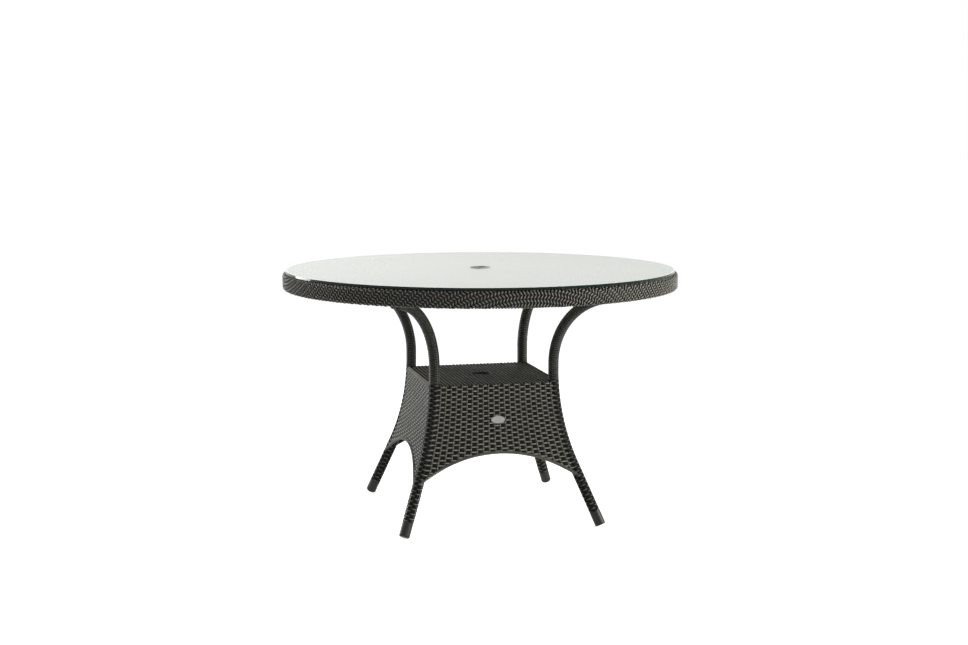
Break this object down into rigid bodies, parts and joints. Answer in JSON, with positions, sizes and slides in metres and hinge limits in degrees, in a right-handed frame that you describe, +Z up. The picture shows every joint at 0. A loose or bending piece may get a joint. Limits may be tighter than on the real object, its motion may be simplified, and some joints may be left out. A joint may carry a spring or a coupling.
{
  "type": "umbrella table",
  "caption": "Round glass-topped woven patio table on flared legs, with an umbrella ring in the top and a shelf above a woven base.",
  "frame": {"origin": "on the floor under the middle of the round top", "axes": "+Z up; the panel with the badge faces -Y; +X to the right of it"},
  "size_m": [1.2, 1.2, 0.758],
  "materials": {
    "satin_glass": "satin tempered glass, green polished edge",
    "ring_aluminium": "satin anodised",
    "pad_rubber": "clear grey bumper",
    "coated_aluminium": "powder coated, dark grey brown",
    "woven_strand": "round and flat synthetic strand, woven",
    "shelf_strand": "synthetic strand, woven",
    "woven_hem": "rod bound with synthetic strand",
    "cap_plastic": "smooth moulded",
    "bolt_steel": "stainless",
    "badge_steel": "brushed, bare"
  },
  "bodies": {
    "frame": {"glass_pads": "pad_rubber", "top_ring_frame": "coated_aluminium", "ring_weave": "woven_strand", "pole_hub": "coated_aluminium", "frame_arm_front_left": "coated_aluminium", "leg_tube_front_left": "coated_aluminium", "leg_weave_front_left": "woven_strand", "foot_cap_front_left": "cap_plastic", "leg_end_plug_front_left": "cap_plastic", "leg_plate_front_left": "coated_aluminium", "frame_arm_front_right": "coated_aluminium", "leg_tube_front_right": "coated_aluminium", "leg_weave_front_right": "woven_strand", "foot_cap_front_right": "cap_plastic", "leg_end_plug_front_right": "cap_plastic", "leg_plate_front_right": "coated_aluminium", "frame_arm_back_right": "coated_aluminium", "leg_tube_back_right": "coated_aluminium", "leg_weave_back_right": "woven_strand", "foot_cap_back_right": "cap_plastic", "leg_end_plug_back_right": "cap_plastic", "leg_plate_back_right": "coated_aluminium", "frame_arm_back_left": "coated_aluminium", "leg_tube_back_left": "coated_aluminium", "leg_weave_back_left": "woven_strand", "foot_cap_back_left": "cap_plastic", "leg_end_plug_back_left": "cap_plastic", "leg_plate_back_left": "coated_aluminium", "leg_bolts": "bolt_steel", "threaded_inserts": "bolt_steel", "panel_front": "woven_strand", "arch_rod_front": "woven_hem", "shelf_rail_front": "coated_aluminium", "panel_right": "woven_strand", "arch_rod_right": "woven_hem", "shelf_rail_right": "coated_aluminium", "panel_back": "woven_strand", "arch_rod_back": "woven_hem", "shelf_rail_back": "coated_aluminium", "panel_left": "woven_strand", "arch_rod_left": "woven_hem", "shelf_rail_left": "coated_aluminium", "shelf_slat_left": "coated_aluminium", "shelf_slat_right": "coated_aluminium", "shelf_hole_ring": "woven_hem", "shelf_weave": "shelf_strand", "badge_plate": "badge_steel", "badge_clips": "bolt_steel"},
    "glass": {"glass_top": "satin_glass", "umbrella_ring": "ring_aluminium", "umbrella_ring_nut": "ring_aluminium"}
  },
  "joints": [
    {"name": "glass_lift", "type": "slide", "parent": "frame", "child": "glass", "axis": [0, 0, 1], "range_m": [0, 0.15]}
  ]
}
